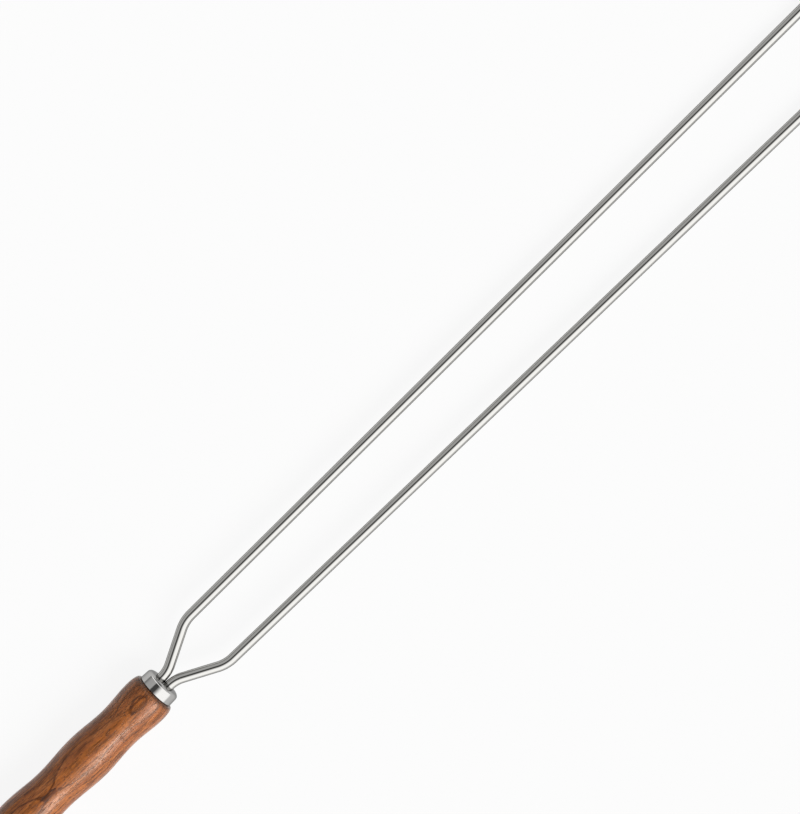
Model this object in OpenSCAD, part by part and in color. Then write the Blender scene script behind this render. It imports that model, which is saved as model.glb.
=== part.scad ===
// Double skewer for grilling: two round steel prongs leave a drawn ferrule side by side, crank apart
// and run on almost parallel, and a turned hardwood handle holds their tangs.
// The skewer lies along X with its tips at +X, the prongs lie in one level plane, and Z = 0 is the
// lowest line of the handle. Each prong is one rod, peened over a washer at the butt of the handle.

/* [Prongs] */
// Diameter of the rod that each prong is made from
rod_d = 6; // [5:0.1:7.5]
// Distance from the ferrule's front to the tips, measured along the skewer
prong_reach = 615; // [400:5:900]
// Distance between the two centre lines where the straight runs begin
prong_spread = 33.6; // [27:0.1:60]
// Angle of the cranked legs to the skewer's axis
crank_angle = 27; // [20:0.5:40]
// Radius of the bend next to the ferrule, on the rod's centre line
near_bend_r = 18; // [12:0.5:26]
// Radius of the bend where the straight run begins, on the rod's centre line
far_bend_r = 21.5; // [12:0.5:28]
// Distance from the ferrule's front to the first bend
bend_start = 0.5; // [0.2:0.1:6]
// Angle by which each straight run opens outwards
splay_angle = 0.5; // [0:0.1:3]
// Length of the ground point
point_l = 22; // [10:1:40]
// Diameter of the blunt nose at the end of the point
nose_d = 0.8; // [0.4:0.1:2]

/* [Tangs] */
// Space between the two rods where they lie side by side
tang_gap = 0.2; // [0.1:0.05:1]
// Width of the shoulder where each tang is turned down to its stem
stem_shoulder = 1; // [0.5:0.1:1.4]
// Length of wood that the stems pass through behind the shoulders
stem_wood_l = 24; // [12:1:40]
// How far each peened head reaches over the edge of its stem
head_lip = 0.8; // [0.4:0.05:0.9]
// Height of the peened heads
head_h = 1.2; // [0.6:0.1:2]

/* [Ferrule] */
// Outer diameter of the ferrule at its open rear edge
ferrule_d = 22.6; // [20:0.1:25]
// Length of the ferrule from its rear edge to its front
ferrule_l = 8; // [6:0.1:16]
// How much narrower the ferrule is at its front than at its rear edge
ferrule_taper = 0.4; // [0:0.1:1]
// Thickness of the ferrule's wall
ferrule_wall = 0.8; // [0.5:0.1:1.2]
// Outer radius of the corner between the side and the front
ferrule_corner_r = 2.4; // [1.5:0.1:3.5]
// Slope of the crowned front where it meets the corner
crown_angle = 6; // [1:0.5:12]

/* [Handle] */
// How far the wood stands out around the ferrule's rear edge
shoulder_step = 1; // [0.3:0.1:1.2]
// Length from the wood's front face to the crest of the shoulder
shoulder_l = 8.1; // [4:0.1:14]
// Diameter of the shoulder's crest
shoulder_d = 28.3; // [27.6:0.1:34]
// Length from the shoulder's crest to the front neck
front_neck_l = 20.6; // [12:0.1:30]
// Diameter of the front neck
front_neck_d = 25.6; // [22:0.1:27]
// Length from the front neck to the belly's crest
belly_l = 24; // [15:0.5:40]
// Diameter of the belly
belly_d = 28.4; // [27:0.1:34]
// Length from the belly's crest to the rear neck
rear_neck_l = 26.3; // [15:0.1:40]
// Diameter of the rear neck
rear_neck_d = 25.4; // [22:0.1:27]
// Length from the rear neck to the pommel's crest
pommel_l = 25; // [15:0.5:40]
// Diameter of the pommel
pommel_d = 28.4; // [27:0.1:34]
// Length from the pommel's crest to the butt
butt_l = 23; // [12:0.5:35]
// Width of the flat wooden rim around the washer in the butt
butt_rim = 1.3; // [0.6:0.1:2]

/* [Butt washer] */
// Thickness of the washer
washer_t = 1.2; // [0.8:0.1:2]
// Metal left in the washer outside the peened heads
washer_rim = 1.1; // [0.6:0.1:2]

/* [Clearances] */
// Clearance around each tang in the handle and in the ferrule's front
tang_fit = 0.1; // [0.05:0.05:0.4]
// Clearance around each stem in the handle and in the washer
stem_fit = 0.1; // [0.05:0.05:0.4]
// Clearance between the handle's spigot and the inside of the ferrule
spigot_fit = 0.1; // [0.05:0.05:0.4]
// Space between the spigot's end and the inside of the ferrule's front
spigot_end_gap = 0.3; // [0.1:0.1:1]
// Clearance around the washer in its recess
washer_fit = 0.2; // [0.1:0.05:0.5]
// Depth of the peened heads below the butt
head_setback = 0.2; // [0.1:0.1:1]

/* [Hidden] */
$fn = 96;

steel = [0.80, 0.80, 0.82];
drawn_steel = [0.72, 0.73, 0.75];
washer_steel = [0.66, 0.67, 0.68];
hardwood = [0.55, 0.33, 0.20];

// Number of bands in each swell of the handle and in each small rounding
swell_steps = 12;
corner_steps = 6;
dome_steps = 6;
nose_steps = 3;
// How far a cut runs past the face that it opens
cut_past = 1;
// The rod is thicker by a hair in its bends, and the straight runs end a little inside them
bend_swell = 0.02;
bend_lap = 0.2;

// Where the pieces lie along the skewer
handle_l = shoulder_l + front_neck_l + belly_l + rear_neck_l + pommel_l + butt_l;
overall_l = handle_l + ferrule_l + prong_reach;
butt_x = -overall_l / 2;
shoulder_x = butt_x + handle_l;
front_x = shoulder_x + ferrule_l;
axis_z = max(shoulder_d, belly_d, pommel_d) / 2;

// The tangs, from the peened heads to the ferrule
stem_d = rod_d - 2 * stem_shoulder;
head_d = stem_d + 2 * head_lip;
dome_r = (head_d * head_d / 4 + head_h * head_h) / (2 * head_h);
dome_angle = 2 * atan(2 * head_h / head_d);
tang_pitch = rod_d + tang_gap;
recess_l = head_setback + head_h + washer_t;
recess_x = butt_x + recess_l;
washer_x = recess_x - washer_t;
tang_x = recess_x + stem_wood_l;
stem_l = tang_x - washer_x;
tang_l = front_x + bend_start - tang_x;

// The crank: the leg makes up what the two bends leave of the way from the tangs to the spread
crank_rise = (prong_spread - tang_pitch) / 2;
near_rise = near_bend_r * (1 - cos(crank_angle));
far_rise = far_bend_r * (cos(splay_angle) - cos(crank_angle));
leg_l = (crank_rise - near_rise - far_rise) / sin(crank_angle);
near_run = near_bend_r * sin(crank_angle);
far_run = far_bend_r * (sin(crank_angle) - sin(splay_angle));
crank_run = bend_start + near_run + leg_l * cos(crank_angle) + far_run;
straight_l = (prong_reach - crank_run) / cos(splay_angle) - point_l;

// The ferrule's corner and crown
ferrule_rear_r = ferrule_d / 2;
ferrule_front_r = ferrule_rear_r - ferrule_taper / 2;
corner_centre_r = ferrule_front_r - ferrule_corner_r;
crown_edge_r = corner_centre_r + ferrule_corner_r * sin(crown_angle);
crown_r = crown_edge_r / sin(crown_angle);
corner_centre_x = -crown_r + (crown_r - ferrule_corner_r) * cos(crown_angle);

// The washer and the butt around it
washer_d = tang_pitch + head_d + 2 * washer_rim;
recess_d = washer_d + 2 * washer_fit;
butt_face_r = recess_d / 2 + butt_rim;

// The spigot, whose chamfer clears the ferrule's inner corner
spigot_r = ferrule_front_r - ferrule_wall - spigot_fit;
spigot_chamfer = ferrule_corner_r - ferrule_wall;
spigot_l = ferrule_l - ferrule_wall - crown_r * (1 - cos(crown_angle)) - spigot_end_gap;

function backwards(points) = [for (i = [len(points) - 1 : -1 : 0]) points[i]];

// Points [radius, distance along the axis] of the ferrule's wall, set in by a given depth,
// from the middle of the front to the rear edge. The front lies at 0 and the rear edge below it.
function ferrule_wall_line(inset) = concat(
    [for (i = [0 : corner_steps])
        let (a = crown_angle * i / corner_steps)
        [(crown_r - inset) * sin(a), -crown_r + (crown_r - inset) * cos(a)]],
    [for (i = [1 : corner_steps])
        let (a = crown_angle + (90 - crown_angle) * i / corner_steps)
        [corner_centre_r + (ferrule_corner_r - inset) * sin(a),
         corner_centre_x + (ferrule_corner_r - inset) * cos(a)]],
    [[ferrule_rear_r - inset, -ferrule_l]]
);

// Points of a smooth swell from one crest or neck to the next. The first point is left out.
function swell(x1, d1, x2, d2) = [
    for (i = [1 : swell_steps])
        let (t = i / swell_steps, blend = (1 - cos(180 * t)) / 2)
        [(d1 + (d2 - d1) * blend) / 2, x1 + (x2 - x1) * t]
];

// Points of a quarter ellipse that rounds a flat face over to a crest
function rounding(face_x, face_r, crest_x, crest_r) = [
    for (i = [0 : swell_steps])
        let (a = 90 * i / swell_steps)
        [face_r + (crest_r - face_r) * sin(a), face_x + (crest_x - face_x) * (1 - cos(a))]
];

// Lays a shape that was made upright along the skewer, with its foot at x
module along_skewer(x) {
    translate([x, 0, axis_z]) rotate([0, 90, 0]) children();
}

// Two round passages side by side, the prongs' distance apart
module twin_passage(x, d, l) {
    for (side = [-1, 1])
        translate([x, side * tang_pitch / 2, axis_z]) rotate([0, 90, 0]) cylinder(h = l, d = d);
}

// One oblong passage around both tangs
module tang_passage(x, l) {
    passage_d = rod_d + 2 * tang_fit;
    twin_passage(x, passage_d, l);
    translate([x, -tang_pitch / 2, axis_z - passage_d / 2]) cube([l, tang_pitch, passage_d]);
}

// Turns an outline of points [radius, distance] about the rod's own line.
// What follows it starts at the given distance along that line.
module turned_run(outline, l) {
    rotate([0, 90, 0]) rotate_extrude() polygon(outline);
    translate([l, 0, 0]) children();
}

// A bend of the rod in the level plane, to the left where the angle is positive.
// What follows it starts at its end.
module rod_bend(angle, bend_r) {
    centre_y = sign(angle) * bend_r;
    translate([0, centre_y, 0]) {
        rotate_extrude(angle = angle, start = -90 * sign(angle))
            translate([bend_r, 0]) circle(d = rod_d + bend_swell);
        rotate([0, 0, angle]) translate([0, -centre_y, 0]) children();
    }
}

// Outline of the rod behind the crank: domed head, stem and tang. The stem starts at 0.
function tang_outline() = concat(
    [for (i = [0 : dome_steps])
        let (a = dome_angle * i / dome_steps)
        [dome_r * sin(a), dome_r * (1 - cos(a)) - head_h]],
    [[stem_d / 2, 0], [stem_d / 2, stem_l], [rod_d / 2, stem_l]],
    [[rod_d / 2, stem_l + tang_l + bend_lap], [0, stem_l + tang_l + bend_lap]]
);

// Outline of the cranked leg between the two bends
function leg_outline() = [
    [0, -bend_lap],
    [rod_d / 2, -bend_lap],
    [rod_d / 2, leg_l + bend_lap],
    [0, leg_l + bend_lap]
];

// Outline of the straight run, ground to a long point with a rounded nose
function blade_outline() = concat(
    [[0, -bend_lap], [rod_d / 2, -bend_lap], [rod_d / 2, straight_l]],
    [for (i = [0 : nose_steps])
        let (a = 90 * i / nose_steps)
        [nose_d / 2 * cos(a), straight_l + point_l - nose_d / 2 * (1 - sin(a))]]
);

// The left prong as one rod: head, stem, tang, crank, straight run and point
module prong() {
    translate([washer_x, tang_pitch / 2, axis_z])
        turned_run(tang_outline(), stem_l + tang_l)
        rod_bend(crank_angle, near_bend_r)
        turned_run(leg_outline(), leg_l)
        rod_bend(splay_angle - crank_angle, far_bend_r)
        turned_run(blade_outline(), straight_l);
}

// Turned hardwood, with a spigot for the ferrule, a mortise for the tangs and a recess in the butt
module handle() {
    shoulder_crest_x = -shoulder_l;
    front_neck_x = shoulder_crest_x - front_neck_l;
    belly_x = front_neck_x - belly_l;
    rear_neck_x = belly_x - rear_neck_l;
    pommel_x = rear_neck_x - pommel_l;
    color(hardwood) difference() {
        along_skewer(shoulder_x) rotate_extrude() polygon(concat(
            [[0, spigot_l], [spigot_r - spigot_chamfer, spigot_l], [spigot_r, spigot_l - spigot_chamfer]],
            [[spigot_r, 0]],
            rounding(0, ferrule_rear_r + shoulder_step, shoulder_crest_x, shoulder_d / 2),
            swell(shoulder_crest_x, shoulder_d, front_neck_x, front_neck_d),
            swell(front_neck_x, front_neck_d, belly_x, belly_d),
            swell(belly_x, belly_d, rear_neck_x, rear_neck_d),
            swell(rear_neck_x, rear_neck_d, pommel_x, pommel_d),
            backwards(rounding(-handle_l, butt_face_r, pommel_x, pommel_d / 2)),
            [[0, -handle_l]]
        ));
        tang_passage(tang_x, tang_l + cut_past);
        twin_passage(recess_x - cut_past, stem_d + 2 * stem_fit, stem_wood_l + 2 * cut_past);
        along_skewer(butt_x - cut_past) cylinder(h = recess_l + cut_past, d = recess_d);
    }
}

// A cup drawn from sheet, with a crowned front that both tangs pass through
module ferrule() {
    color(drawn_steel) difference() {
        along_skewer(front_x) rotate_extrude()
            polygon(concat(ferrule_wall_line(0), backwards(ferrule_wall_line(ferrule_wall))));
        tang_passage(shoulder_x, ferrule_l + cut_past);
    }
}

module left_prong() {
    color(steel) prong();
}

module right_prong() {
    color(steel) mirror([0, 1, 0]) prong();
}

// The washer that the two stems are peened over
module butt_washer() {
    color(washer_steel) difference() {
        along_skewer(washer_x) cylinder(h = washer_t, d = washer_d);
        twin_passage(washer_x - cut_past, stem_d + 2 * stem_fit, washer_t + 2 * cut_past);
    }
}

handle();
ferrule();
left_prong();
right_prong();
butt_washer();
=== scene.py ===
import math

import bpy
from mathutils import Matrix, Vector, noise


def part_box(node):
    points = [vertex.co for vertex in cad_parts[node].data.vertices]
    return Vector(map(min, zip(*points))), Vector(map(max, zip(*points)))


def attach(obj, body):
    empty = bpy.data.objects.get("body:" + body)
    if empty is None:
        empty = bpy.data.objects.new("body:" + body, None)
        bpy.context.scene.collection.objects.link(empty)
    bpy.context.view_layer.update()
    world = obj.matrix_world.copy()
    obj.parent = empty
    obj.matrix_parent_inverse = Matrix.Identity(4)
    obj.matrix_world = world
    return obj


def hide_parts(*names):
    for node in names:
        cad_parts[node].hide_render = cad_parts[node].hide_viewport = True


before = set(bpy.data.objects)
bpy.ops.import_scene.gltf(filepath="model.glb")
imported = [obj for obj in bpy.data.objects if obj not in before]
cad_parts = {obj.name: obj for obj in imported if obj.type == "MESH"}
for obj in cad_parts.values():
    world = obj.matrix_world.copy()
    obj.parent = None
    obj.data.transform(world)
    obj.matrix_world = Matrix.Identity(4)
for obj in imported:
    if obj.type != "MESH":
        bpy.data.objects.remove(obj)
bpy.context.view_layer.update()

bl_info = {
    "name": "Double skewer",
    "version": (1, 0, 0),
    "blender": (4, 5, 0),
    "location": "View3D > Sidebar > Skewer",
    "description": "Builds a double grilling skewer with its steel, wood and studio around a CAD frame",
    "category": "Add Mesh",
}

MM = 0.001

# The frame gives where the pieces lie: the skewer's axis, its two ends and the faces between them.
FERRULE_LOW, FERRULE_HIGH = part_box("ferrule")
PRONG_LOW, PRONG_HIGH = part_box("left_prong")
WASHER_LOW, WASHER_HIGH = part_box("butt_washer")
AXIS_Z = (FERRULE_LOW.z + FERRULE_HIGH.z) / 2
BUTT_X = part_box("handle")[0].x
SHOULDER_X = FERRULE_LOW.x
TIP_X = PRONG_HIGH.x
ROD_D = PRONG_HIGH.z - PRONG_LOW.z
FERRULE_R = (FERRULE_HIGH.y - FERRULE_LOW.y) / 2
WASHER_R = (WASHER_HIGH.y - WASHER_LOW.y) / 2
# the hole takes the top of the ferrule's crown away, so the frame can't say how far the crown would reach
FERRULE_L = 8 * MM
FRONT_X = SHOULDER_X + FERRULE_L

# a ring narrower than this is one point
POINT_R = 1e-7
# sockets of a Mix node for colours: the first colour, the second one and the result
MIX_FIRST, MIX_SECOND, MIX_RESULT = 6, 7, 2


def linear(text):
    """An sRGB hex colour such as "#96583a" as linear red, green and blue."""
    parts = [int(text[i:i + 2], 16) / 255 for i in (1, 3, 5)]
    return tuple(p / 12.92 if p <= 0.04045 else ((p + 0.055) / 1.055) ** 2.4 for p in parts)


def size_prop(name, description, default):
    """A length in metres, shown in the user's own unit."""
    return bpy.props.FloatProperty(
        name=name, description=description, default=default, unit="LENGTH", precision=5)


def angle_prop(name, description, degrees):
    """An angle, given here in degrees."""
    return bpy.props.FloatProperty(
        name=name, description=description, default=math.radians(degrees), subtype="ANGLE")


def colour_prop(name, description, text):
    """A colour, given here as sRGB hex."""
    return bpy.props.FloatVectorProperty(
        name=name, description=description, default=linear(text), subtype="COLOR", size=3, min=0, max=1)


def share_prop(name, description, default):
    """A plain number, such as a roughness or a strength."""
    return bpy.props.FloatProperty(name=name, description=description, default=default, min=0, soft_max=1)


class ProngSettings(bpy.types.PropertyGroup):
    rod_d: size_prop("Rod diameter", "Diameter of the rod that each prong is made from", ROD_D)
    tang_gap: size_prop("Tang gap", "Space between the rods where they lie side by side", 0.2 * MM)
    spread: size_prop("Spread", "Distance between the centre lines where the straight runs begin", 33.6 * MM)
    crank_angle: angle_prop("Crank angle", "Angle of the cranked legs to the skewer's axis", 27)
    near_bend_r: size_prop("Near bend", "Centre line radius of the bend next to the ferrule", 18 * MM)
    far_bend_r: size_prop("Far bend", "Centre line radius of the bend before the straight run", 21.5 * MM)
    bend_start: size_prop("Bend start", "Distance from the ferrule's front to the first bend", 0.5 * MM)
    splay: angle_prop("Splay", "Angle by which each straight run opens outwards", 0.5)
    point_l: size_prop("Point length", "Length of the ground point", 22 * MM)
    nose_d: size_prop("Nose diameter", "Diameter of the blunt nose at the end of the point", 0.8 * MM)
    stem_d: size_prop("Stem diameter", "Diameter of the turned-down stem inside the handle", 4 * MM)
    stem_wood_l: size_prop("Stem length", "Length of wood that the stems pass through", 24 * MM)
    head_d: size_prop("Head diameter", "Diameter of the peened heads", 5.6 * MM)
    head_h: size_prop("Head height", "Height of the peened heads", 1.2 * MM)
    stem_fit: size_prop("Stem fit", "Clearance around the stems in the wood and the washer", 0.1 * MM)
    tang_fit: size_prop("Tang fit", "Clearance around the tangs in the wood", 0.1 * MM)
    tint: colour_prop("Steel", "Colour of the bright drawn stainless rod", "#b4b3b0")
    edge_tint: colour_prop("Edge", "Share of the steel's brightness that is left near its outline", "#595959")
    roughness: share_prop("Roughness", "Roughness of the polished rod", 0.06)
    draw_line: size_prop("Draw lines", "Distance between the fine lines that the die leaves", 0.12 * MM)


class FerruleSettings(bpy.types.PropertyGroup):
    taper: size_prop("Taper", "How much narrower the ferrule is at its front", 0.4 * MM)
    wall: size_prop("Wall", "Thickness of the ferrule's sheet", 0.8 * MM)
    corner_r: size_prop("Corner radius", "Outer radius of the corner between side and front", 2.4 * MM)
    crown: angle_prop("Crown", "Slope of the crowned front where it meets the corner", 6)
    hole_fit: size_prop("Hole fit", "Clearance around the tangs in the ferrule's front", 0.1 * MM)
    hole_edge: size_prop("Hole edge", "Radius that punching leaves around the hole", 0.3 * MM)
    rim_r: size_prop("Rim radius", "Radius to which the cut rear rim is tumbled", 0.12 * MM)
    rim_l: size_prop("Rim length", "Length of the rear rim that is burnished inwards", 0.5 * MM)
    rim_lean: angle_prop("Rim lean", "Slope of the burnished rim", 28)
    tint: colour_prop("Steel", "Colour of the drawn and polished sheet", "#b4b3b1")
    edge_tint: colour_prop("Edge", "Share of the steel's brightness that is left near its outline", "#b0b0b0")
    roughness: share_prop("Roughness", "Roughness of the polished sheet", 0.1)
    ring: size_prop("Rings", "Distance between the fine rings that drawing and polishing leave", 0.15 * MM)


class HandleSettings(bpy.types.PropertyGroup):
    shoulder_step: size_prop("Shoulder step", "How far the wood stands out around the ferrule", 1 * MM)
    shoulder_l: size_prop("Shoulder length", "Length from the wood's front to the shoulder's crest", 8.1 * MM)
    shoulder_d: size_prop("Shoulder diameter", "Diameter of the shoulder's crest", 28.3 * MM)
    front_neck_l: size_prop("Front neck length", "Length from the shoulder to the front neck", 20.6 * MM)
    front_neck_d: size_prop("Front neck diameter", "Diameter of the front neck", 25.6 * MM)
    belly_l: size_prop("Belly length", "Length from the front neck to the belly", 24 * MM)
    belly_d: size_prop("Belly diameter", "Diameter of the belly", 28.4 * MM)
    rear_neck_l: size_prop("Rear neck length", "Length from the belly to the rear neck", 26.3 * MM)
    rear_neck_d: size_prop("Rear neck diameter", "Diameter of the rear neck", 25.4 * MM)
    pommel_l: size_prop("Pommel length", "Length from the rear neck to the pommel", 25 * MM)
    pommel_d: size_prop("Pommel diameter", "Diameter of the pommel", 28.4 * MM)
    butt_rim: size_prop("Butt rim", "Width of the flat wooden rim around the washer", 1.3 * MM)
    edge_r: size_prop("Edge radius", "Radius that sanding leaves on the wood's edges", 0.3 * MM)
    joint_gap: size_prop("Joint", "Depth of the fine groove in the wood beside the ferrule", 0.25 * MM)
    washer_fit: size_prop("Washer fit", "Clearance around the washer in its recess", 0.2 * MM)
    spigot_fit: size_prop("Spigot fit", "Clearance between the spigot and the ferrule", 0.1 * MM)
    spigot_l: size_prop("Spigot length", "Length of the spigot inside the ferrule", 6.43 * MM)
    spigot_chamfer: size_prop("Spigot chamfer", "Chamfer that clears the ferrule's inner corner", 1.6 * MM)
    sanding: size_prop("Sanding", "Depth of the slight unevenness that hand sanding leaves", 0.05 * MM)
    ring_gap: size_prop("Growth rings", "Distance between growth lines in the blank", 2.2 * MM)
    ring_phase: share_prop("Ring phase", "Where the growth lines fall, as a share of their distance", 0.72)
    pith_depth: size_prop("Pith depth", "Distance from the skewer's axis down to the tree's centre", 75 * MM)
    early_wood: colour_prop("Early wood", "Colour of the pale wood between the growth lines", "#b66d38")
    late_wood: colour_prop("Late wood", "Colour of the dark growth lines", "#4c2512")
    streak: colour_prop("Streaks", "Colour of the redder streaks along the grain", "#8b4823")
    pore: colour_prop("Pores", "Colour of the open pores", "#33180a")
    roughness: share_prop("Roughness", "Roughness of the oiled wood between its redder streaks", 0.22)
    sheen: colour_prop("Sheen", "Tint that the fibres give to what the oiled wood mirrors", "#fff3e9")


class StageSettings(bpy.types.PropertyGroup):
    lens: bpy.props.FloatProperty(name="Lens", description="Focal length in millimetres", default=196.98)
    distance: size_prop("Distance", "Distance from the camera to the point it looks at", 2.46009)
    aim_x: size_prop("Aim along", "Where the camera looks, along the skewer", -0.039213)
    aim_y: size_prop("Aim across", "Where the camera looks, across the skewer", 0.018387)
    tilt: angle_prop("Tilt", "Angle of the view to the plumb line, leaning towards the tips", 4.67)
    roll: angle_prop("Roll", "Angle of the skewer's axis in the picture", 44.2391)
    floor: colour_prop("Floor", "Colour of the paper under the skewer", "#f4f4f4")
    floor_glow: share_prop("Floor glow", "Share of even white in the paper, where shade is the rest", 0.9)
    room: share_prop("Room light", "How strongly the room lights matt surfaces", 0.24)
    lamp: share_prop("Lamp", "Light of the soft lamp on the right", 2.35)
    lamp_width: angle_prop("Lamp width", "Angle that the soft lamp fills, seen from the skewer", 40)
    lamp_lean: angle_prop("Lamp lean", "Angle of the soft lamp from straight above towards the right", 45)


def add_node(tree, kind, settings=None, inputs=None, stops=None):
    """Adds a node, sets its own properties, then fills each input with a value, or links it to another node.

    A node given as an input stands for its first output. stops are a ramp's places, in order, and the
    brightness at each."""
    made = tree.nodes.new(kind)
    for key, value in (settings or {}).items():
        setattr(made, key, value)
    if stops:
        ramp = made.color_ramp.elements
        for place, _ in stops[1:-1]:
            ramp.new(place)
        for stop, (place, light) in zip(ramp, stops):
            stop.position = place
            stop.color = (light, light, light, 1.0)
    for key, value in (inputs or {}).items():
        if isinstance(value, bpy.types.Node):
            value = value.outputs[0]
        if isinstance(value, bpy.types.NodeSocket):
            tree.links.new(value, made.inputs[key])
        else:
            made.inputs[key].default_value = value
    return made


def new_material(name):
    """An empty node material with its tree."""
    material = bpy.data.materials.new(name)
    material.use_nodes = True
    material.node_tree.nodes.clear()
    return material, material.node_tree


def smooth(mesh, sharp_degrees=32):
    """Shades a mesh smoothly, except over real edges."""
    mesh.polygons.foreach_set("use_smooth", [True] * len(mesh.polygons))
    mesh.set_sharp_from_angle(angle=math.radians(sharp_degrees))


def new_object(name, points, faces, material):
    """A mesh object from points in metres in the frame, linked to the scene."""
    mesh = bpy.data.meshes.new(name)
    mesh.from_pydata([tuple(p) for p in points], [], faces)
    if mesh.validate():
        raise RuntimeError(name + " has faulty faces")
    mesh.materials.append(material)
    smooth(mesh)
    piece = bpy.data.objects.new(name, mesh)
    bpy.context.scene.collection.objects.link(piece)
    return piece


def carve(piece, cutters):
    """Cuts the cutters out of a piece, and takes them away."""
    for cutter in cutters:
        cut = piece.modifiers.new(cutter.name, "BOOLEAN")
        cut.operation = "DIFFERENCE"
        cut.solver = "EXACT"
        cut.object = cutter
    seen = piece.evaluated_get(bpy.context.evaluated_depsgraph_get())
    whole, piece.data = piece.data, bpy.data.meshes.new_from_object(seen)
    piece.modifiers.clear()
    bpy.data.meshes.remove(whole)
    for cutter in cutters:
        bpy.data.meshes.remove(cutter.data)
    if not piece.data.polygons:
        raise RuntimeError(piece.name + " was cut away")
    smooth(piece.data)


def loft(rings, closed=False):
    """Points and faces of a skin over rings of equal count. A ring of one point closes an end."""
    points, starts = [], []
    for ring in rings:
        starts.append(len(points))
        points += ring
    faces = []
    pairs = list(zip(range(len(rings)), range(1, len(rings))))
    if closed:
        pairs.append((len(rings) - 1, 0))
    for i, j in pairs:
        a, b = starts[i], starts[j]
        count = max(len(rings[i]), len(rings[j]))
        for k in range(count):
            n = (k + 1) % count
            if len(rings[i]) == 1:
                faces.append((a, b + n, b + k))
            elif len(rings[j]) == 1:
                faces.append((a + k, a + n, b))
            else:
                faces.append((a + k, a + n, b + n, b + k))
    return points, faces


def round_ring(x, radius, sides, y=0.0):
    """A ring about the skewer's axis, or about a line beside it."""
    if radius < POINT_R:
        return [Vector((x, y, AXIS_Z))]
    turns = [math.tau * k / sides for k in range(sides)]
    return [Vector((x, y + radius * math.sin(a), AXIS_Z + radius * math.cos(a))) for a in turns]


def turned(name, line, sides, material, y=0.0):
    """A turned solid from its outline, points (radius, x) that start and end on the axis."""
    points, faces = loft([round_ring(x, r, sides, y) for r, x in line])
    return new_object(name, points, faces, material)


def bright_steel(name, settings, stretch, pitch, depth):
    """Polished stainless with fine lines. Returns its material, tree, place and shader.

    The lines are pitch apart and depth deep, and stretch draws them out along the skewer or around it. They
    blur what the metal mirrors along one way only, as the real ones do. Buffing leaves softer patches of about
    12 mm. The tint near the outline is darker, which gives the crisp dark edge of bright steel on white."""
    material, tree = new_material(name)
    place = add_node(tree, "ShaderNodeTexCoord")
    drawn = add_node(tree, "ShaderNodeMapping", inputs={"Vector": place.outputs["Object"], "Scale": stretch})
    lines = add_node(tree, "ShaderNodeTexNoise", inputs={
        "Vector": drawn, "Scale": 1 / (2 * pitch), "Detail": 2, "Roughness": 0.6})
    patches = add_node(tree, "ShaderNodeTexNoise", inputs={
        "Vector": place.outputs["Object"], "Scale": 1 / (12 * MM), "Detail": 3})
    rough = add_node(tree, "ShaderNodeMapRange", inputs={
        "Value": patches, "From Min": 0.3, "From Max": 0.7,
        "To Min": settings.roughness * 0.8, "To Max": settings.roughness * 1.3})
    bump = add_node(tree, "ShaderNodeBump", inputs={"Height": lines, "Strength": 1.0, "Distance": depth})
    shader = add_node(tree, "ShaderNodeBsdfPrincipled", inputs={
        "Base Color": (*settings.tint, 1), "Metallic": 1.0, "Specular Tint": (*settings.edge_tint, 1),
        "Roughness": rough, "Normal": bump})
    add_node(tree, "ShaderNodeOutputMaterial", inputs={"Surface": shader})
    return material, tree, place, shader


def drawn_rod(settings):
    """Stainless rod, drawn through a die and buffed: mirror bright, with hair lines along it.

    The point is ground across the rod, so it is duller there and its lines run around it."""
    material, tree, place, shader = bright_steel(
        "Stainless_rod_drawn_and_buffed", settings, (0.01, 1, 1), settings.draw_line, 0.0006 * MM)
    point_x = TIP_X - settings.point_l
    blend = 0.2 * MM
    along = add_node(tree, "ShaderNodeSeparateXYZ", inputs={0: place.outputs["Object"]})
    ground = add_node(tree, "ShaderNodeMapRange", inputs={
        "Value": along, "From Min": point_x - blend, "From Max": point_x + blend})
    across = add_node(tree, "ShaderNodeMapping", inputs={
        "Vector": place.outputs["Object"], "Scale": (1, 0.04, 0.04)})
    # a coarse wheel leaves marks about 0.5 mm apart
    wheel = add_node(tree, "ShaderNodeTexNoise", inputs={
        "Vector": across, "Scale": 1 / (0.5 * MM), "Detail": 3, "Roughness": 0.7})
    height = add_node(tree, "ShaderNodeMath", {"operation": "MULTIPLY"}, {0: wheel, 1: ground})
    marks = add_node(tree, "ShaderNodeBump", inputs={
        "Height": height, "Strength": 1.0, "Distance": 0.012 * MM,
        "Normal": shader.inputs["Normal"].links[0].from_socket})
    dull = add_node(tree, "ShaderNodeMath", {"operation": "MULTIPLY_ADD"}, {
        0: ground, 1: 0.16, 2: shader.inputs["Roughness"].links[0].from_socket})
    tree.links.new(marks.outputs[0], shader.inputs["Normal"])
    tree.links.new(dull.outputs[0], shader.inputs["Roughness"])
    return material


def drawn_sheet(settings):
    """Stainless sheet, deep drawn into a cup and polished on a spindle: bright, with fine rings around it."""
    return bright_steel(
        "Stainless_sheet_deep_drawn", settings, (1, 0.02, 0.02), settings.ring, 0.0012 * MM)[0]


def tumbled_washer(settings):
    """Stainless washer, stamped and tumbled: duller than the ferrule, with fine dents every way."""
    material, tree, place, shader = bright_steel(
        "Stainless_washer_stamped_and_tumbled", settings, (1, 1, 1), 0.35 * MM, 0.03 * MM)
    spread = add_node(tree, "ShaderNodeMath", {"operation": "ADD"}, {
        0: shader.inputs["Roughness"].links[0].from_socket, 1: 0.16})
    tree.links.new(spread.outputs[0], shader.inputs["Roughness"])
    return material


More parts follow.
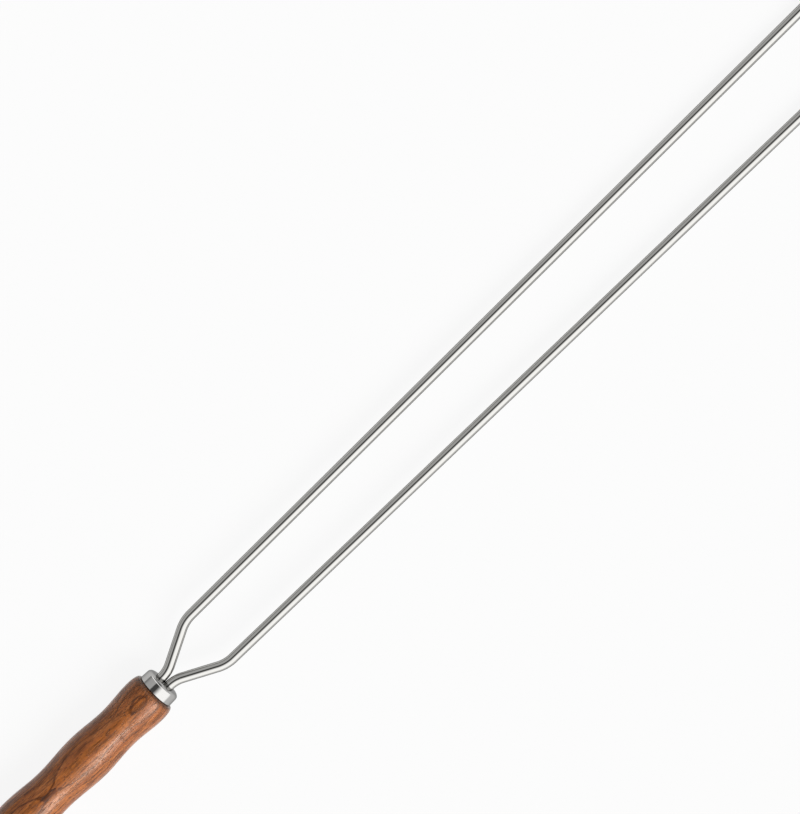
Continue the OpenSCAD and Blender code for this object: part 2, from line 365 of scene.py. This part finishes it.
def grain(tree, blank, length, width, detail=3.0, roughness=0.55):
    """Noise drawn out along the grain, with marks of about this length and width in metres."""
    drawn = add_node(tree, "ShaderNodeMapping", inputs={
        "Vector": blank, "Scale": (1 / length, 1 / width, 1 / width)})
    return add_node(tree, "ShaderNodeTexNoise", inputs={
        "Vector": drawn, "Scale": 1.0, "Detail": detail, "Roughness": roughness})


def growth_lines(tree, blank, settings):
    """The blank's growth lines, from 0 between them to 1 on them: arcs about the tree's centre.

    They sway and wander as the tree grew, and fade and come back along the grain."""
    across = add_node(tree, "ShaderNodeVectorMath", {"operation": "MULTIPLY_ADD"}, {
        0: blank, 1: (0, 1, 1), 2: (0, 0, settings.pith_depth)})
    depth = add_node(tree, "ShaderNodeVectorMath", {"operation": "LENGTH"}, {0: across}).outputs["Value"]
    for length, width, reach in ((38 * MM, 9 * MM, 0.9 * MM), (7 * MM, 1.6 * MM, 0.22 * MM)):
        shift = add_node(tree, "ShaderNodeMapRange", inputs={
            "Value": grain(tree, blank, length, width), "To Min": -reach, "To Max": reach})
        depth = add_node(tree, "ShaderNodeMath", {"operation": "ADD"}, {0: depth, 1: shift})
    years = add_node(tree, "ShaderNodeMath", {"operation": "MULTIPLY_ADD"}, {
        0: depth, 1: 1 / settings.ring_gap, 2: settings.ring_phase})
    year = add_node(tree, "ShaderNodeMath", {"operation": "FRACT"}, {0: years})
    # each year's wood darkens slowly towards its end
    late = add_node(tree, "ShaderNodeValToRGB", inputs={0: year}, stops=[
        (0.0, 0.1), (0.35, 0.0), (0.7, 0.1), (0.87, 0.25), (0.92, 1.0), (0.97, 1.0), (1.0, 0.1)])
    fading = add_node(tree, "ShaderNodeMapRange", inputs={
        "Value": grain(tree, blank, 22 * MM, 5 * MM), "From Min": 0.3, "From Max": 0.7,
        "To Min": 0.55, "To Max": 1.0})
    return add_node(tree, "ShaderNodeMath", {"operation": "MULTIPLY"}, {0: late, 1: fading})


def turned_hardwood(settings):
    """Reddish hardwood, turned between centres, sanded and oiled.

    The blank is flat sawn: its growth lines are arcs about the tree's centre, far below the skewer, so on
    the swells they close to ovals and along the sides they follow the outline. Streaks and fibres run along
    the grain, and the pores are short dark dashes. Where the surface faces along the skewer the colour darkens:
    partly end grain that soaks up more oil, partly painted shade where the wood rolls over towards the ferrule.
    The oil film gives a satin gloss, and the redder streaks shine less, which breaks the glare into silky
    stripes."""
    material, tree = new_material("Hardwood_turned_sanded_and_oiled")
    place = add_node(tree, "ShaderNodeTexCoord")
    centred = add_node(tree, "ShaderNodeVectorMath", {"operation": "SUBTRACT"}, {
        0: place.outputs["Object"], 1: (SHOULDER_X, 0, AXIS_Z)})
    # the blank lay a little askew to the grain
    blank = add_node(tree, "ShaderNodeMapping", inputs={
        "Vector": centred, "Rotation": (math.radians(6), math.radians(-1), math.radians(0.5))})
    late = growth_lines(tree, blank, settings)
    streaks = add_node(tree, "ShaderNodeMapRange", inputs={
        "Value": grain(tree, blank, 50 * MM, 1.5 * MM), "From Min": 0.4, "From Max": 0.62, "To Max": 0.6})
    # an even ground with thin dark fibres in it
    fibre = add_node(tree, "ShaderNodeMapRange", inputs={
        "Value": grain(tree, blank, 14 * MM, 1.1 * MM, 4.0, 0.65), "From Min": 0.36, "From Max": 0.54,
        "To Min": 0.42, "To Max": 1.18})
    # real pores are about 0.15 mm wide, and are drawn nearly three times as wide so that they show
    pores = add_node(tree, "ShaderNodeMapRange", inputs={
        "Value": grain(tree, blank, 4 * MM, 0.4 * MM, 1.0), "From Min": 0.6, "From Max": 0.68,
        "To Max": 0.8})
    facing = add_node(tree, "ShaderNodeSeparateXYZ", inputs={0: place.outputs["Normal"]})
    turned_away = add_node(tree, "ShaderNodeMath", {"operation": "ABSOLUTE"}, {0: facing})
    # darker where the surface faces along the skewer: partly the real darker end grain, partly painted shade
    # where the shoulder rolls away from the light towards the ferrule
    end_grain_and_painted_shade = add_node(tree, "ShaderNodeMapRange", inputs={
        "Value": turned_away, "From Min": 0.12, "From Max": 0.45, "To Min": 1.0, "To Max": 0.42})
    shade = add_node(tree, "ShaderNodeMath", {"operation": "MULTIPLY"}, {0: fibre, 1: end_grain_and_painted_shade})
    # soft clouds, and the faint ripples across the grain that the light picks out in curly wood
    for length, width, low, high in ((11 * MM, 4 * MM, 0.9, 1.1), (1.2 * MM, 5 * MM, 0.92, 1.08)):
        part = add_node(tree, "ShaderNodeMapRange", inputs={
            "Value": grain(tree, blank, length, width), "From Min": 0.3, "From Max": 0.7,
            "To Min": low, "To Max": high})
        shade = add_node(tree, "ShaderNodeMath", {"operation": "MULTIPLY"}, {0: shade, 1: part})
    pale = add_node(tree, "ShaderNodeMix", {"data_type": "RGBA"}, {
        0: streaks, MIX_FIRST: (*settings.early_wood, 1), MIX_SECOND: (*settings.streak, 1)})
    lined = add_node(tree, "ShaderNodeMix", {"data_type": "RGBA"}, {
        0: late, MIX_FIRST: pale.outputs[MIX_RESULT], MIX_SECOND: (*settings.late_wood, 1)})
    shaded = add_node(tree, "ShaderNodeVectorMath", {"operation": "SCALE"}, {
        0: lined.outputs[MIX_RESULT], "Scale": shade})
    colour = add_node(tree, "ShaderNodeMix", {"data_type": "RGBA"}, {
        0: pores, MIX_FIRST: shaded, MIX_SECOND: (*settings.pore, 1)})
    satin = add_node(tree, "ShaderNodeMapRange", inputs={
        "Value": fibre, "From Min": 0.42, "From Max": 1.18, "To Min": settings.roughness + 0.05,
        "To Max": settings.roughness - 0.05})
    duller = add_node(tree, "ShaderNodeMath", {"operation": "MULTIPLY_ADD"}, {0: streaks, 1: 0.3, 2: satin})
    rough = add_node(tree, "ShaderNodeMath", {"operation": "MULTIPLY_ADD"}, {0: pores, 1: 0.2, 2: duller})
    ridges = add_node(tree, "ShaderNodeMath", {"operation": "MULTIPLY"}, {0: fibre, 1: 0.35})
    height = add_node(tree, "ShaderNodeMath", {"operation": "SUBTRACT"}, {0: ridges, 1: pores})
    bump = add_node(tree, "ShaderNodeBump", inputs={"Height": height, "Strength": 1.0, "Distance": 0.04 * MM})
    shader = add_node(tree, "ShaderNodeBsdfPrincipled", inputs={
        "Base Color": colour.outputs[MIX_RESULT], "Roughness": rough, "IOR": 1.5, "Specular IOR Level": 0.46,
        "Specular Tint": (*settings.sheen, 1), "Normal": bump})
    add_node(tree, "ShaderNodeOutputMaterial", inputs={"Surface": shader})
    return material


def rod_stations(settings):
    """The left prong's centre line as (x, y, heading, radius), from its peened head to its nose."""
    rod_r, stem_r, nose_r = settings.rod_d / 2, settings.stem_d / 2, settings.nose_d / 2
    y = (settings.rod_d + settings.tang_gap) / 2
    crank, splay = settings.crank_angle, settings.splay
    rise = settings.spread / 2 - y
    near_rise = settings.near_bend_r * (1 - math.cos(crank))
    far_rise = settings.far_bend_r * (math.cos(splay) - math.cos(crank))
    leg_l = (rise - near_rise - far_rise) / math.sin(crank)
    tang_x = WASHER_HIGH.x + settings.stem_wood_l
    # the turning tool leaves the tang's shoulder with a small chamfer
    edge = 0.3 * MM
    stations = [(x, y, 0.0, r) for x, r in head_line(settings)]
    stations += [(WASHER_LOW.x, y, 0.0, stem_r), (tang_x, y, 0.0, stem_r), (tang_x, y, 0.0, rod_r - edge),
                 (tang_x + edge, y, 0.0, rod_r)]
    x, heading = FRONT_X + settings.bend_start, 0.0
    stations.append((x, y, heading, rod_r))
    bend_steps, run_steps, nose_steps = 24, 60, 6
    bends = ((crank, settings.near_bend_r, leg_l), (splay - crank, settings.far_bend_r, 0.0))
    for angle, bend_r, run in bends:
        turn = math.copysign(1, angle)
        for i in range(1, bend_steps + 1):
            h = heading + angle * i / bend_steps
            stations.append((x + turn * bend_r * (math.sin(h) - math.sin(heading)),
                             y - turn * bend_r * (math.cos(h) - math.cos(heading)), h, rod_r))
        x, y, heading = stations[-1][:3]
        if run:
            x, y = x + run * math.cos(heading), y + run * math.sin(heading)
            stations.append((x, y, heading, rod_r))
    straight_l = (TIP_X - x) / math.cos(heading) - settings.point_l
    runs = [(straight_l * i / run_steps, rod_r) for i in range(1, run_steps + 1)]
    runs += [(straight_l + settings.point_l - nose_r * (1 - math.sin(a)), nose_r * math.cos(a))
             for a in (math.pi / 2 * i / nose_steps for i in range(nose_steps + 1))]
    stations += [(x + run * math.cos(heading), y + run * math.sin(heading), heading, r) for run, r in runs]
    return stations


def dome_radius(settings):
    """The radius of the sphere that a peened head is a cap of."""
    return ((settings.head_d / 2) ** 2 + settings.head_h ** 2) / (2 * settings.head_h)


def head_line(settings):
    """Points (x, radius) of a peened head's dome, from its crown to its rim."""
    head_r = settings.head_d / 2
    dome_r = dome_radius(settings)
    steps = 16
    angles = [2 * math.atan(settings.head_h / head_r) * i / steps for i in range(steps + 1)]
    crown_x = WASHER_LOW.x - settings.head_h
    return [(crown_x + dome_r * (1 - math.cos(a)), dome_r * math.sin(a)) for a in angles]


def peen(points, settings):
    """Flattens a head's dome where the hammer struck it, with eleven small facets around a larger one.

    A blow is its direction and the share of the dome's radius that it leaves. The sines make no two alike."""
    dome_r = dome_radius(settings)
    y = (settings.rod_d + settings.tang_gap) / 2
    centre = Vector((WASHER_LOW.x - settings.head_h + dome_r, y, AXIS_Z))
    blows = [(Vector((-1, 0.02, 0.03)).normalized(), 0.975)]
    count = 11
    for i in range(count):
        around = math.tau * (i + 0.35 * math.sin(5.1 * i)) / count
        lean = math.radians(26 + 5 * math.sin(3.7 * i))
        way = Vector((-math.cos(lean), math.sin(lean) * math.sin(around), math.sin(lean) * math.cos(around)))
        blows.append((way, 0.984 + 0.004 * math.sin(2.3 * i)))
    # the head's rim stays whole, where it bears on the washer
    rim = 0.02 * MM
    for p in points:
        if p.x < WASHER_LOW.x - rim:
            for way, share in blows:
                over = (p - centre).dot(way) - dome_r * share
                if over > 0:
                    p -= way * over


def prong_rings(settings, side, sides):
    """Rings around the prong's centre line. side is 1 for the left prong and -1 for the right one."""
    rings = []
    for x, y, heading, radius in rod_stations(settings):
        across = Vector((-math.sin(heading), math.cos(heading), 0))
        centre = Vector((x, y, AXIS_Z))
        if radius < POINT_R:
            rings.append([centre])
            continue
        turns = [math.tau * k / sides for k in range(sides)]
        rings.append([centre + radius * (math.sin(a) * across + Vector((0, 0, math.cos(a)))) for a in turns])
    for ring in rings:
        peen(ring, settings)
        for p in ring:
            p.y *= side
    return rings


def ferrule_line(settings, inset):
    """The ferrule's wall, set in by a depth, and the radius of its crown.

    The wall is points (radius, x) from where the crown meets the corner to the rear rim."""
    centre_r = FERRULE_R - settings.taper / 2 - settings.corner_r
    crown_r = (centre_r + settings.corner_r * math.sin(settings.crown)) / math.sin(settings.crown)
    centre_x = FRONT_X - crown_r + (crown_r - settings.corner_r) * math.cos(settings.crown)
    corner_steps, side_steps, rim_steps = 16, 12, 6
    points = []
    for i in range(corner_steps + 1):
        a = settings.crown + (math.pi / 2 - settings.crown) * i / corner_steps
        points.append((centre_r + (settings.corner_r - inset) * math.sin(a),
                       centre_x + (settings.corner_r - inset) * math.cos(a)))
    side_r, side_x = points[-1]
    end_x = SHOULDER_X if inset else SHOULDER_X + settings.rim_l
    for i in range(1, side_steps + 1):
        t = i / side_steps
        points.append((side_r + (FERRULE_R - inset - side_r) * t, side_x + (end_x - side_x) * t))
    if not inset:
        round_r = settings.rim_r
        edge_r = FERRULE_R - (settings.rim_l - round_r) * math.tan(settings.rim_lean) - round_r
        for i in range(rim_steps + 1):
            a = math.pi / 2 * i / rim_steps
            points.append((edge_r + round_r * math.cos(a), SHOULDER_X + round_r * (1 - math.sin(a))))
    return points, crown_r


def oblong_ring(x, half_width, half_pitch, sides):
    """A ring around both tangs: two half circles joined by straight lines across the skewer."""
    ring = []
    for k in range(sides):
        a = math.tau * k / sides
        dy, dz = math.sin(a), math.cos(a)
        # the ray from the axis meets the straight part or the round end
        if abs(dz) * half_pitch >= abs(dy) * half_width:
            reach = half_width / abs(dz)
        else:
            b = half_pitch * abs(dy)
            reach = b + math.sqrt(b * b - half_pitch ** 2 + half_width ** 2)
        ring.append(Vector((x, reach * dy, AXIS_Z + reach * dz)))
    return ring


def blend_rings(first, last, steps):
    """Rings between two others, without either."""
    return [[p.lerp(q, i / steps) for p, q in zip(first, last)] for i in range(1, steps)]


def crowned(ring, crown_r, wall=0.0, sunk=0.0):
    """Moves a ring along the skewer onto the crown's outer face, or onto its inner one, a wall below it.

    sunk lets it lie deeper by that much, as the punched edge does."""
    for p in ring:
        out = math.hypot(p.y, p.z - AXIS_Z)
        p.x = FRONT_X - crown_r + math.sqrt((crown_r - wall) ** 2 - out ** 2) - sunk
    return ring


def handle_line(settings, ferrule):
    """Points (radius, x) of the turned wood, from its spigot's end to the bottom of the washer's recess."""
    spigot_r = FERRULE_R - ferrule.taper / 2 - ferrule.wall - settings.spigot_fit
    face_r = FERRULE_R + settings.shoulder_step
    spigot_x = SHOULDER_X + settings.spigot_l
    points = [(0, spigot_x), (spigot_r - settings.spigot_chamfer, spigot_x),
              (spigot_r, spigot_x - settings.spigot_chamfer), (spigot_r, SHOULDER_X),
              (FERRULE_R - ferrule.wall, SHOULDER_X), (FERRULE_R - 0.5 * MM, SHOULDER_X),
              (FERRULE_R - 0.2 * MM, SHOULDER_X - settings.joint_gap),
              (FERRULE_R + 0.25 * MM, SHOULDER_X - 0.2 * settings.joint_gap)]
    shoulder_steps, swell_steps = 20, 32
    front_x = SHOULDER_X - settings.edge_r / 2
    x = SHOULDER_X - settings.shoulder_l
    for i in range(shoulder_steps + 1):
        a = math.pi / 2 * i / shoulder_steps
        points.append((face_r + (settings.shoulder_d / 2 - face_r) * math.sin(a),
                       front_x - (front_x - x) * (1 - math.cos(a))))
    d = settings.shoulder_d
    swells = ((settings.front_neck_l, settings.front_neck_d), (settings.belly_l, settings.belly_d),
              (settings.rear_neck_l, settings.rear_neck_d), (settings.pommel_l, settings.pommel_d))
    for length, to_d in swells:
        for i in range(1, swell_steps + 1):
            t = i / swell_steps
            points.append(((d + (to_d - d) * (1 - math.cos(math.pi * t)) / 2) / 2, x - length * t))
        x -= length
        d = to_d
    recess_r = WASHER_R + settings.washer_fit
    butt_r = recess_r + settings.butt_rim
    for i in range(1, swell_steps + 1):
        a = math.pi / 2 * (1 - i / swell_steps)
        points.append((butt_r + (d / 2 - butt_r) * math.sin(a), BUTT_X + (x - BUTT_X) * (1 - math.cos(a))))
    edge = settings.edge_r
    points += [(recess_r + edge, BUTT_X), (recess_r + 0.3 * edge, BUTT_X + 0.3 * edge),
               (recess_r, BUTT_X + edge), (recess_r, WASHER_HIGH.x), (0, WASHER_HIGH.x)]
    return points


def sand(points, settings):
    """Takes off a little wood here and there, never adds any, so that the gloss wavers as on a sanded handle.

    The spigot and the face beside the ferrule stay as turned."""
    face_r = FERRULE_R + 0.7 * MM
    for p in points:
        out = Vector((0, p.y, p.z - AXIS_Z))
        if out.length < face_r and p.x > SHOULDER_X - MM:
            continue
        wave = noise.noise(Vector((p.x / (16 * MM), p.y / (9 * MM), p.z / (9 * MM))))
        fine = noise.noise(Vector((p.x / (5 * MM), p.y / (4 * MM) + 7, p.z / (4 * MM))))
        p -= out.normalized() * settings.sanding * min(1.0, max(0.0, 0.5 + 0.5 * wave + 0.15 * fine))


class SKEWER_OT_prongs(bpy.types.Operator):
    """Draws, bends and points both steel prongs"""
    bl_idname = "skewer.prongs"
    bl_label = "Prongs"

    def execute(self, context):
        settings = context.scene.skewer_prongs
        material = drawn_rod(settings)
        for node, side in (("left_prong", 1), ("right_prong", -1)):
            points, faces = loft(prong_rings(settings, side, 48))
            if side > 0:
                faces = [face[::-1] for face in faces]
            piece = new_object(node + "_rod", points, faces, material)
            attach(piece, "root")
            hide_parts(node)
        return {"FINISHED"}


class SKEWER_OT_ferrule(bpy.types.Operator):
    """Draws and punches the ferrule"""
    bl_idname = "skewer.ferrule"
    bl_label = "Ferrule"

    def execute(self, context):
        settings = context.scene.skewer_ferrule
        prongs = context.scene.skewer_prongs
        sides = 160
        half_width = prongs.rod_d / 2 + settings.hole_fit
        half_pitch = (prongs.rod_d + prongs.tang_gap) / 2
        outer_line, crown_r = ferrule_line(settings, 0.0)
        inner_line = ferrule_line(settings, settings.wall)[0]
        edge_steps, face_steps = 4, 6
        hole = []
        for i in range(edge_steps + 1):
            a = math.pi / 2 * i / edge_steps
            edge_width = half_width + settings.hole_edge * (1 - math.cos(a))
            ring = oblong_ring(FRONT_X, edge_width, half_pitch, sides)
            hole.append(crowned(ring, crown_r, sunk=settings.hole_edge * (1 - math.sin(a))))
        inner_hole = crowned(oblong_ring(FRONT_X, half_width, half_pitch, sides), crown_r, settings.wall)
        outer = [round_ring(x, r, sides) for r, x in outer_line]
        inner = [round_ring(x, r, sides) for r, x in inner_line]
        front = [crowned(ring, crown_r) for ring in blend_rings(hole[-1], outer[0], face_steps)]
        back = [crowned(ring, crown_r, settings.wall)
                for ring in blend_rings(inner_hole, inner[0], face_steps)]
        points, faces = loft([
            inner_hole, *hole, *front, *outer, *reversed(inner), *reversed(back)], closed=True)
        piece = new_object("ferrule_cup", points, faces, drawn_sheet(settings))
        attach(piece, "root")
        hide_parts("ferrule")
        return {"FINISHED"}


class SKEWER_OT_handle(bpy.types.Operator):
    """Turns, bores and sands the wooden handle"""
    bl_idname = "skewer.handle"
    bl_label = "Handle"

    def execute(self, context):
        settings = context.scene.skewer_handle
        prongs = context.scene.skewer_prongs
        sides, bore_sides = 144, 48
        line = handle_line(settings, context.scene.skewer_ferrule)
        rings = [round_ring(x, r, sides) for r, x in line]
        for ring in rings:
            sand(ring, settings)
        material = turned_hardwood(settings)
        piece = new_object("handle_wood", *loft(rings), material)
        half_pitch = (prongs.rod_d + prongs.tang_gap) / 2
        tang_x = WASHER_HIGH.x + prongs.stem_wood_l
        mortise = [oblong_ring(x, prongs.rod_d / 2 + prongs.tang_fit, half_pitch, 2 * bore_sides)
                   for x in (FRONT_X, tang_x)]
        mortise = [[Vector((FRONT_X, 0, AXIS_Z))], *mortise, [Vector((tang_x, 0, AXIS_Z))]]
        cutters = [new_object("mortise", *loft(mortise), material)]
        stem_r = prongs.stem_d / 2 + prongs.stem_fit
        low, high = WASHER_HIGH.x - MM, tang_x + MM
        bore = [(0, high), (stem_r, high), (stem_r, low), (0, low)]
        for y in (-half_pitch, half_pitch):
            cutters.append(turned("stem_bore", bore, bore_sides, material, y))
        carve(piece, cutters)
        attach(piece, "root")
        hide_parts("handle")
        return {"FINISHED"}


class SKEWER_OT_washer(bpy.types.Operator):
    """Stamps the washer that the prongs are peened over"""
    bl_idname = "skewer.washer"
    bl_label = "Butt washer"

    def execute(self, context):
        prongs = context.scene.skewer_prongs
        low, high = WASHER_LOW.x, WASHER_HIGH.x
        material = tumbled_washer(context.scene.skewer_ferrule)
        # stamping rounds one face's edge and leaves the other's nearly sharp
        round_r, burr = 0.25 * MM, 0.05 * MM
        sides, bore_sides, edge_steps = 96, 48, 6
        line = [(0, high), (WASHER_R - burr, high), (WASHER_R, high - burr)]
        line += [(WASHER_R - round_r * (1 - math.cos(a)), low + round_r * (1 - math.sin(a)))
                 for a in (math.pi / 2 * i / edge_steps for i in range(edge_steps + 1))]
        line.append((0, low))
        piece = turned("butt_washer_plate", line, sides, material)
        stem_r = prongs.stem_d / 2 + prongs.stem_fit
        half_pitch = (prongs.rod_d + prongs.tang_gap) / 2
        bore = [(0, high + MM), (stem_r, high + MM), (stem_r, low - MM), (0, low - MM)]
        carve(piece, [
            turned("washer_bore", bore, bore_sides, material, y) for y in (-half_pitch, half_pitch)])
        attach(piece, "root")
        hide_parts("butt_washer")
        return {"FINISHED"}


class SKEWER_OT_stage(bpy.types.Operator):
    """Lays the floor and sets the lights and the camera"""
    bl_idname = "skewer.stage"
    bl_label = "Stage"

    def execute(self, context):
        settings = context.scene.skewer_stage
        make_floor(context, settings)
        make_world(context, settings)
        make_lamp(context, settings)
        make_camera(context, settings)
        context.scene.view_settings.view_transform = "Standard"
        return {"FINISHED"}


def make_floor(context, settings):
    """White paper that touches the handle's shoulder and the prongs where their points begin."""
    handle, prongs = context.scene.skewer_handle, context.scene.skewer_prongs
    near = Vector((SHOULDER_X - handle.shoulder_l, 0, AXIS_Z - handle.shoulder_d / 2))
    far = Vector((TIP_X - prongs.point_l, 0, AXIS_Z - prongs.rod_d / 2))
    lean = math.atan2(far.z - near.z, far.x - near.x)
    half_side = 14.0
    turn = Matrix.Translation(near) @ Matrix.Rotation(-lean, 4, "Y")
    corners = [turn @ Vector((x * half_side, y * half_side, 0)) for x, y in ((-1, -1), (1, -1), (1, 1), (-1, 1))]
    material, tree = new_material("White_paper")
    shader = add_node(tree, "ShaderNodeBsdfDiffuse", inputs={"Color": (*settings.floor, 1)})
    glow = add_node(tree, "ShaderNodeEmission", inputs={"Color": (1, 1, 1, 1), "Strength": 1.0})
    path = add_node(tree, "ShaderNodeLightPath")
    seen = add_node(tree, "ShaderNodeMath", {"operation": "MAXIMUM"}, {
        0: path.outputs["Is Camera Ray"], 1: path.outputs["Is Glossy Ray"]})
    seen = add_node(tree, "ShaderNodeMath", {"operation": "MAXIMUM"}, {
        0: seen, 1: path.outputs["Is Transmission Ray"]})
    share = add_node(tree, "ShaderNodeMath", {"operation": "MULTIPLY"}, {0: seen, 1: settings.floor_glow})
    mixed = add_node(tree, "ShaderNodeMixShader", inputs={0: share, 1: shader, 2: glow})
    add_node(tree, "ShaderNodeOutputMaterial", inputs={"Surface": mixed})
    floor = new_object("paper_floor", corners, [(0, 1, 2, 3)], material)


def make_world(context, settings):
    """A studio around the skewer: grey walls, a broad white screen on the right, a dark gap straight above
    and a white screen beyond each end. The steel mirrors it, and matt surfaces get a share of its light."""
    # degrees from straight above towards the skewer's right, and the wall's brightness there
    walls = ((-180, 0.72), (-96, 0.3), (-84, 0.36), (-68, 0.68), (-32, 0.72), (-28, 0.1), (-6, 0.1),
             (4, 0.76), (14, 1.6), (21, 2.0), (76, 2.0), (86, 1.1), (92, 0.72), (180, 0.72))
    brightest = 2.0
    # how far along the skewer a ray runs, from -1 to 1, where it meets the screens, and their softer edge
    screens = ((-0.8, -0.66), (0.42, 0.58))
    edge = 0.04
    screen_light = 2.0
    # past the front screen the room is dark: again how far along, and the share of the dark there
    depths = ((-1, 0.0), (0.62, 0.0), (0.68, 0.7), (1, 0.6))
    dark = 0.24

    world = bpy.data.worlds.new("Studio")
    context.scene.world = world
    world.use_nodes = True
    tree = world.node_tree
    tree.nodes.clear()
    place = add_node(tree, "ShaderNodeTexCoord")
    axes = add_node(tree, "ShaderNodeSeparateXYZ", inputs={0: place.outputs["Generated"]})
    across = add_node(tree, "ShaderNodeMath", {"operation": "MULTIPLY"}, {0: axes.outputs["Y"], 1: -1.0})
    angle = add_node(tree, "ShaderNodeMath", {"operation": "ARCTAN2"}, {0: across, 1: axes.outputs["Z"]})
    around = add_node(tree, "ShaderNodeMapRange", inputs={
        "Value": angle, "From Min": -math.pi, "From Max": math.pi, "To Min": 0.0, "To Max": 1.0})
    wall = add_node(tree, "ShaderNodeValToRGB", inputs={0: around}, stops=[
        ((degrees + 180) / 360, light / brightest) for degrees, light in walls])
    along = add_node(tree, "ShaderNodeMapRange", inputs={"Value": axes, "From Min": -1.0})
    shares = [(-1, 0.0)]
    for low, high in screens:
        shares += [(low - edge, 0.0), (low, 1.0), (high, 1.0), (high + edge, 0.0)]
    shares.append((1, 0.0))
    ends = add_node(tree, "ShaderNodeValToRGB", inputs={0: along}, stops=[
        ((x + 1) / 2, share) for x, share in shares])
    depth = add_node(tree, "ShaderNodeValToRGB", inputs={0: along}, stops=[
        ((x + 1) / 2, share) for x, share in depths])
    light = add_node(tree, "ShaderNodeMix", {"data_type": "RGBA"}, {
        0: ends, MIX_FIRST: wall, MIX_SECOND: (*(screen_light / brightest,) * 3, 1)})
    light = add_node(tree, "ShaderNodeMix", {"data_type": "RGBA"}, {
        0: depth, MIX_FIRST: light.outputs[MIX_RESULT], MIX_SECOND: (*(dark / brightest,) * 3, 1)})
    path = add_node(tree, "ShaderNodeLightPath")
    power = add_node(tree, "ShaderNodeMapRange", inputs={
        "Value": path.outputs["Is Glossy Ray"], "To Min": brightest * settings.room, "To Max": brightest})
    back = add_node(tree, "ShaderNodeBackground", inputs={
        "Color": light.outputs[MIX_RESULT], "Strength": power})
    add_node(tree, "ShaderNodeOutputWorld", inputs={"Surface": back})


def make_lamp(context, settings):
    """A large soft lamp on the skewer's right, which gives the wood its bright side and its satin glare.

    It lights the wood and the floor only. The steel mirrors the room."""
    data = bpy.data.lights.new("Soft_lamp", "SUN")
    data.energy = settings.lamp
    data.angle = settings.lamp_width
    lamp = bpy.data.objects.new("Soft_lamp", data)
    context.scene.collection.objects.link(lamp)
    lamp.rotation_euler = (settings.lamp_lean, 0, 0)
    lit = bpy.data.collections.new("Lit_by_the_lamp")
    for name in ("handle_wood", "paper_floor"):
        lit.objects.link(bpy.data.objects[name])
    lamp.light_linking.receiver_collection = lit


def make_camera(context, settings):
    """A long lens nearly straight above, turned so that the skewer runs up to the right."""
    data = bpy.data.cameras.new("Camera")
    data.lens = settings.lens
    camera = bpy.data.objects.new("Camera", data)
    context.scene.collection.objects.link(camera)
    context.scene.camera = camera
    look = Vector((-math.sin(settings.tilt), 0, -math.cos(settings.tilt)))
    along = Vector((math.cos(settings.tilt), 0, -math.sin(settings.tilt)))
    across = Vector((0, 1, 0))
    right = math.cos(settings.roll) * along - math.sin(settings.roll) * across
    up = math.sin(settings.roll) * along + math.cos(settings.roll) * across
    place = Vector((settings.aim_x, settings.aim_y, AXIS_Z)) - look * settings.distance
    camera.matrix_world = Matrix((
        (right.x, up.x, -look.x, place.x), (right.y, up.y, -look.y, place.y),
        (right.z, up.z, -look.z, place.z), (0, 0, 0, 1)))


class SKEWER_PT_panel(bpy.types.Panel):
    """Lists the skewer's pieces in the sidebar"""
    bl_idname = "SKEWER_PT_panel"
    bl_label = "Double skewer"
    bl_space_type = "VIEW_3D"
    bl_region_type = "UI"
    bl_category = "Skewer"

    def draw(self, context):
        for maker in MAKERS:
            self.layout.operator(maker.bl_idname)


GROUPS = {
    "skewer_prongs": ProngSettings,
    "skewer_ferrule": FerruleSettings,
    "skewer_handle": HandleSettings,
    "skewer_stage": StageSettings,
}
MAKERS = (SKEWER_OT_prongs, SKEWER_OT_ferrule, SKEWER_OT_handle, SKEWER_OT_washer, SKEWER_OT_stage)


def register():
    """Registers the classes and gives the scene its settings."""
    for cls in (*GROUPS.values(), *MAKERS, SKEWER_PT_panel):
        bpy.utils.register_class(cls)
    for name, cls in GROUPS.items():
        setattr(bpy.types.Scene, name, bpy.props.PointerProperty(type=cls))


def unregister():
    """Takes the settings and the classes away again."""
    for name in GROUPS:
        delattr(bpy.types.Scene, name)
    for cls in (SKEWER_PT_panel, *reversed(MAKERS), *reversed(GROUPS.values())):
        bpy.utils.unregister_class(cls)


def main():
    """Builds the skewer and its stage."""
    register()
    bpy.ops.skewer.prongs()
    bpy.ops.skewer.ferrule()
    bpy.ops.skewer.handle()
    bpy.ops.skewer.washer()
    bpy.ops.skewer.stage()


if __name__ == "__main__":
    main()
